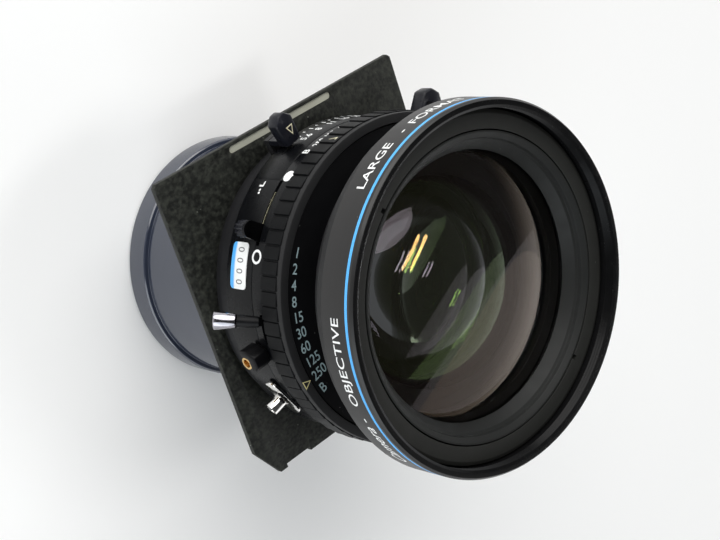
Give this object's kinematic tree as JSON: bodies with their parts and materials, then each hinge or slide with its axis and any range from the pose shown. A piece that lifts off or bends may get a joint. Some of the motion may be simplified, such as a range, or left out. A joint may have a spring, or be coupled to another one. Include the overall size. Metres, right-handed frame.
{
  "type": "large-format camera lens in a leaf shutter",
  "caption": "Large-format camera lens with a wide front rim, set in a leaf shutter with speed ring, aperture pointer and levers, on a flat lens board.",
  "frame": {"origin": "centre of the bounding box, at the rear rim that the lens stands on; the optical axis stands 2.16 mm towards +X and 1.91 mm towards -Y from it", "axes": "+Z along the optical axis towards the subject, +Y towards the board's top edge, +X to the right along it as seen from the front side of the board"},
  "size_m": [0.1094, 0.1088, 0.1228],
  "materials": {
    "satin_black": "satin black anodised",
    "matte_black": "matte black anodised",
    "knob_plastic": "moulded, slightly polished",
    "board_crackle": "black crackle paint, bare metal in the groove",
    "blackened_steel": "blackened",
    "chrome": "polished",
    "steel": "turned",
    "brass": "machined",
    "coated_glass": "polished, multicoated",
    "label_white": "printed label"
  },
  "bodies": {
    "lens_body": {"lens_board": "board_crackle", "mounting_ring": "satin_black", "shutter_base": "satin_black", "shutter_case": "satin_black", "aperture_scale_plate": "satin_black", "speed_face_plate": "matte_black", "blade_separator": "blackened_steel", "mechanism_plate": "blackened_steel", "front_rim": "satin_black", "front_barrel": "satin_black", "front_retaining_ring": "matte_black", "front_baffle_ring": "matte_black", "front_spacer": "matte_black", "front_element_1": "coated_glass", "front_element_2": "coated_glass", "front_element_3": "coated_glass", "rear_barrel": "satin_black", "rear_retaining_ring": "matte_black", "rear_spacer": "matte_black", "rear_element_1": "coated_glass", "rear_element_2": "coated_glass", "rear_element_3": "coated_glass", "release_post": "steel", "cable_release_boss": "knob_plastic", "cable_release_socket": "brass", "sync_flange": "chrome", "sync_socket": "chrome", "sync_contact": "brass", "number_label": "label_white"},
    "speed_ring": {"speed_ring": "satin_black", "speed_cam": "blackened_steel"},
    "aperture_ring": {"aperture_ring": "satin_black", "aperture_knob": "knob_plastic"},
    "blade_ring": {"blade_ring": "blackened_steel", "press_focus_knob": "knob_plastic"},
    "cocking_ring": {"cocking_ring": "blackened_steel", "cocking_knob": "knob_plastic"},
    "release_lever": {"release_lever": "blackened_steel", "release_cap": "chrome"},
    "retard_gear_1": {"retard_gear_1": "brass"},
    "retard_gear_2": {"retard_gear_2": "brass"},
    "shutter_blade_1": {"shutter_blade_1": "blackened_steel"},
    "shutter_blade_2": {"shutter_blade_2": "blackened_steel"},
    "shutter_blade_3": {"shutter_blade_3": "blackened_steel"},
    "shutter_blade_4": {"shutter_blade_4": "blackened_steel"},
    "shutter_blade_5": {"shutter_blade_5": "blackened_steel"},
    "diaphragm_leaf_1": {"diaphragm_leaf_1": "blackened_steel"},
    "diaphragm_leaf_2": {"diaphragm_leaf_2": "blackened_steel"},
    "diaphragm_leaf_3": {"diaphragm_leaf_3": "blackened_steel"},
    "diaphragm_leaf_4": {"diaphragm_leaf_4": "blackened_steel"},
    "diaphragm_leaf_5": {"diaphragm_leaf_5": "blackened_steel"},
    "diaphragm_leaf_6": {"diaphragm_leaf_6": "blackened_steel"},
    "diaphragm_leaf_7": {"diaphragm_leaf_7": "blackened_steel"}
  },
  "joints": [
    {"name": "speed_ring_turn", "type": "hinge", "parent": "lens_body", "child": "speed_ring", "pos_m": [0.00216, -0.00191, 0.084], "axis": [0, 0, 1], "range_deg": [-48, 6]},
    {"name": "aperture_turn", "type": "hinge", "parent": "lens_body", "child": "aperture_ring", "pos_m": [0.00216, -0.00191, 0.0585], "axis": [0, 0, 1], "range_deg": [-40, 0]},
    {"name": "press_focus_turn", "type": "hinge", "parent": "lens_body", "child": "blade_ring", "pos_m": [0.00216, -0.00191, 0.0746], "axis": [0, 0, 1], "range_deg": [-16, 0]},
    {"name": "cocking_turn", "type": "hinge", "parent": "lens_body", "child": "cocking_ring", "pos_m": [0.00216, -0.00191, 0.0761], "axis": [0, 0, 1], "range_deg": [-38, 0]},
    {"name": "release_press", "type": "hinge", "parent": "lens_body", "child": "release_lever", "pos_m": [-0.03308, 0.00242, 0.0774], "axis": [0, 0, 1], "range_deg": [0, 22], "stiffness_Nm_per_rad": 0.04, "springref_deg": -8.59},
    {"name": "shutter_blade_1_swing", "type": "hinge", "parent": "lens_body", "child": "shutter_blade_1", "pos_m": [0.03975, 0.01177, 0.0655], "axis": [0, 0, 1], "range_deg": [-35, 0]},
    {"name": "shutter_blade_2_swing", "type": "hinge", "parent": "lens_body", "child": "shutter_blade_2", "pos_m": [0.00076, 0.03807, 0.0655], "axis": [0, 0, 1], "range_deg": [-35, 0]},
    {"name": "shutter_blade_3_swing", "type": "hinge", "parent": "lens_body", "child": "shutter_blade_3", "pos_m": [-0.03629, 0.00911, 0.0655], "axis": [0, 0, 1], "range_deg": [-35, 0]},
    {"name": "shutter_blade_4_swing", "type": "hinge", "parent": "lens_body", "child": "shutter_blade_4", "pos_m": [-0.02021, -0.03507, 0.0655], "axis": [0, 0, 1], "range_deg": [-35, 0]},
    {"name": "shutter_blade_5_swing", "type": "hinge", "parent": "lens_body", "child": "shutter_blade_5", "pos_m": [0.02679, -0.03343, 0.0655], "axis": [0, 0, 1], "range_deg": [-35, 0]},
    {"name": "diaphragm_leaf_1_swing", "type": "hinge", "parent": "lens_body", "child": "diaphragm_leaf_1", "pos_m": [0.04177, 0.00366, 0.07], "axis": [0, 0, 1], "range_deg": [-32, 0]},
    {"name": "diaphragm_leaf_2_swing", "type": "hinge", "parent": "lens_body", "child": "diaphragm_leaf_2", "pos_m": [0.0225, 0.03253, 0.07], "axis": [0, 0, 1], "range_deg": [-32, 0]},
    {"name": "diaphragm_leaf_3_swing", "type": "hinge", "parent": "lens_body", "child": "diaphragm_leaf_3", "pos_m": [-0.01208, 0.03547, 0.07], "axis": [0, 0, 1], "range_deg": [-32, 0]},
    {"name": "diaphragm_leaf_4_swing", "type": "hinge", "parent": "lens_body", "child": "diaphragm_leaf_4", "pos_m": [-0.03594, 0.01026, 0.07], "axis": [0, 0, 1], "range_deg": [-32, 0]},
    {"name": "diaphragm_leaf_5_swing", "type": "hinge", "parent": "lens_body", "child": "diaphragm_leaf_5", "pos_m": [-0.03111, -0.02411, 0.07], "axis": [0, 0, 1], "range_deg": [-32, 0]},
    {"name": "diaphragm_leaf_6_swing", "type": "hinge", "parent": "lens_body", "child": "diaphragm_leaf_6", "pos_m": [-0.00123, -0.04177, 0.07], "axis": [0, 0, 1], "range_deg": [-32, 0]},
    {"name": "diaphragm_leaf_7_swing", "type": "hinge", "parent": "lens_body", "child": "diaphragm_leaf_7", "pos_m": [0.03121, -0.02941, 0.07], "axis": [0, 0, 1], "range_deg": [-32, 0]},
    {"name": "retard_gear_1_spin", "type": "hinge", "parent": "lens_body", "child": "retard_gear_1", "pos_m": [-0.00316, -0.03974, 0.078], "axis": [0, 0, 1], "range_deg": [-114, 0]},
    {"name": "retard_gear_2_spin", "type": "hinge", "parent": "lens_body", "child": "retard_gear_2", "pos_m": [0.00348, -0.04009, 0.078], "axis": [0, 0, 1], "range_deg": [0, 190]}
  ],
  "couplings": [
    {"joint": "shutter_blade_1_swing", "follows": "press_focus_turn", "ratio": 2.1875},
    {"joint": "shutter_blade_2_swing", "follows": "press_focus_turn", "ratio": 2.1875},
    {"joint": "shutter_blade_3_swing", "follows": "press_focus_turn", "ratio": 2.1875},
    {"joint": "shutter_blade_4_swing", "follows": "press_focus_turn", "ratio": 2.1875},
    {"joint": "shutter_blade_5_swing", "follows": "press_focus_turn", "ratio": 2.1875},
    {"joint": "diaphragm_leaf_1_swing", "follows": "aperture_turn", "ratio": 0.8},
    {"joint": "diaphragm_leaf_2_swing", "follows": "aperture_turn", "ratio": 0.8},
    {"joint": "diaphragm_leaf_3_swing", "follows": "aperture_turn", "ratio": 0.8},
    {"joint": "diaphragm_leaf_4_swing", "follows": "aperture_turn", "ratio": 0.8},
    {"joint": "diaphragm_leaf_5_swing", "follows": "aperture_turn", "ratio": 0.8},
    {"joint": "diaphragm_leaf_6_swing", "follows": "aperture_turn", "ratio": 0.8},
    {"joint": "diaphragm_leaf_7_swing", "follows": "aperture_turn", "ratio": 0.8},
    {"joint": "retard_gear_1_spin", "follows": "cocking_turn", "ratio": 3},
    {"joint": "retard_gear_2_spin", "follows": "cocking_turn", "ratio": -5}
  ]
}
